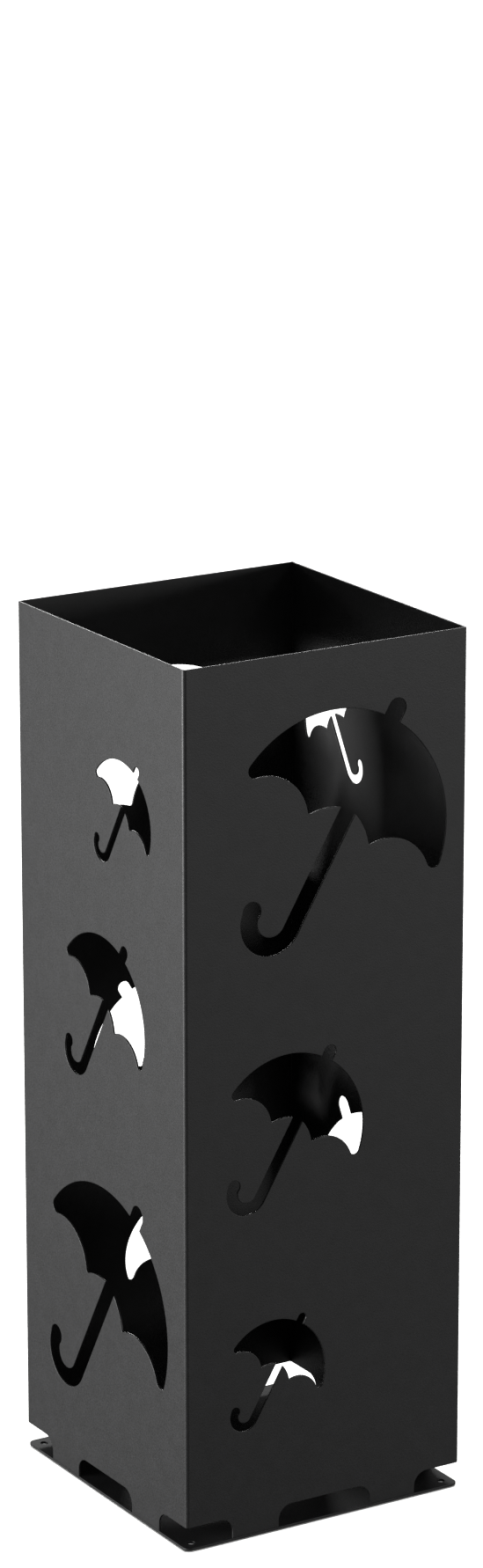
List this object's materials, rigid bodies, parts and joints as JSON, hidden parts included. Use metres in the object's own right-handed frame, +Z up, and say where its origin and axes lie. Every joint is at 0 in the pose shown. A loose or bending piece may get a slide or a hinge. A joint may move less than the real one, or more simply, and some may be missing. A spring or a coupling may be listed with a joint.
{
  "type": "umbrella stand",
  "caption": "Tall square umbrella stand of folded, laser-cut sheet steel with umbrella-shaped cut-outs, welded to a flat base plate with corner fixing holes.",
  "frame": {"origin": "centre of the square footprint, on the floor", "axes": "+Z up towards the open rim, -Y out of the front wall, -X out of the left wall"},
  "size_m": [0.175, 0.175, 0.49],
  "materials": {
    "powder_coat": "fine-textured matt black powder coat over sheet steel",
    "pad_rubber": "matt black self-adhesive rubber disc"
  },
  "bodies": {
    "root": {"tube_wall": "powder_coat", "corner_seam_weld": "powder_coat", "base_plate": "powder_coat", "tab_weld_front_left": "powder_coat", "tab_weld_front_right": "powder_coat", "tab_weld_right_left": "powder_coat", "tab_weld_right_right": "powder_coat", "tab_weld_back_left": "powder_coat", "tab_weld_back_right": "powder_coat", "tab_weld_left_left": "powder_coat", "tab_weld_left_right": "powder_coat", "anti_slip_pad_front_left": "pad_rubber", "anti_slip_pad_front_right": "pad_rubber", "anti_slip_pad_back_left": "pad_rubber", "anti_slip_pad_back_right": "pad_rubber"}
  },
  "joints": []
}
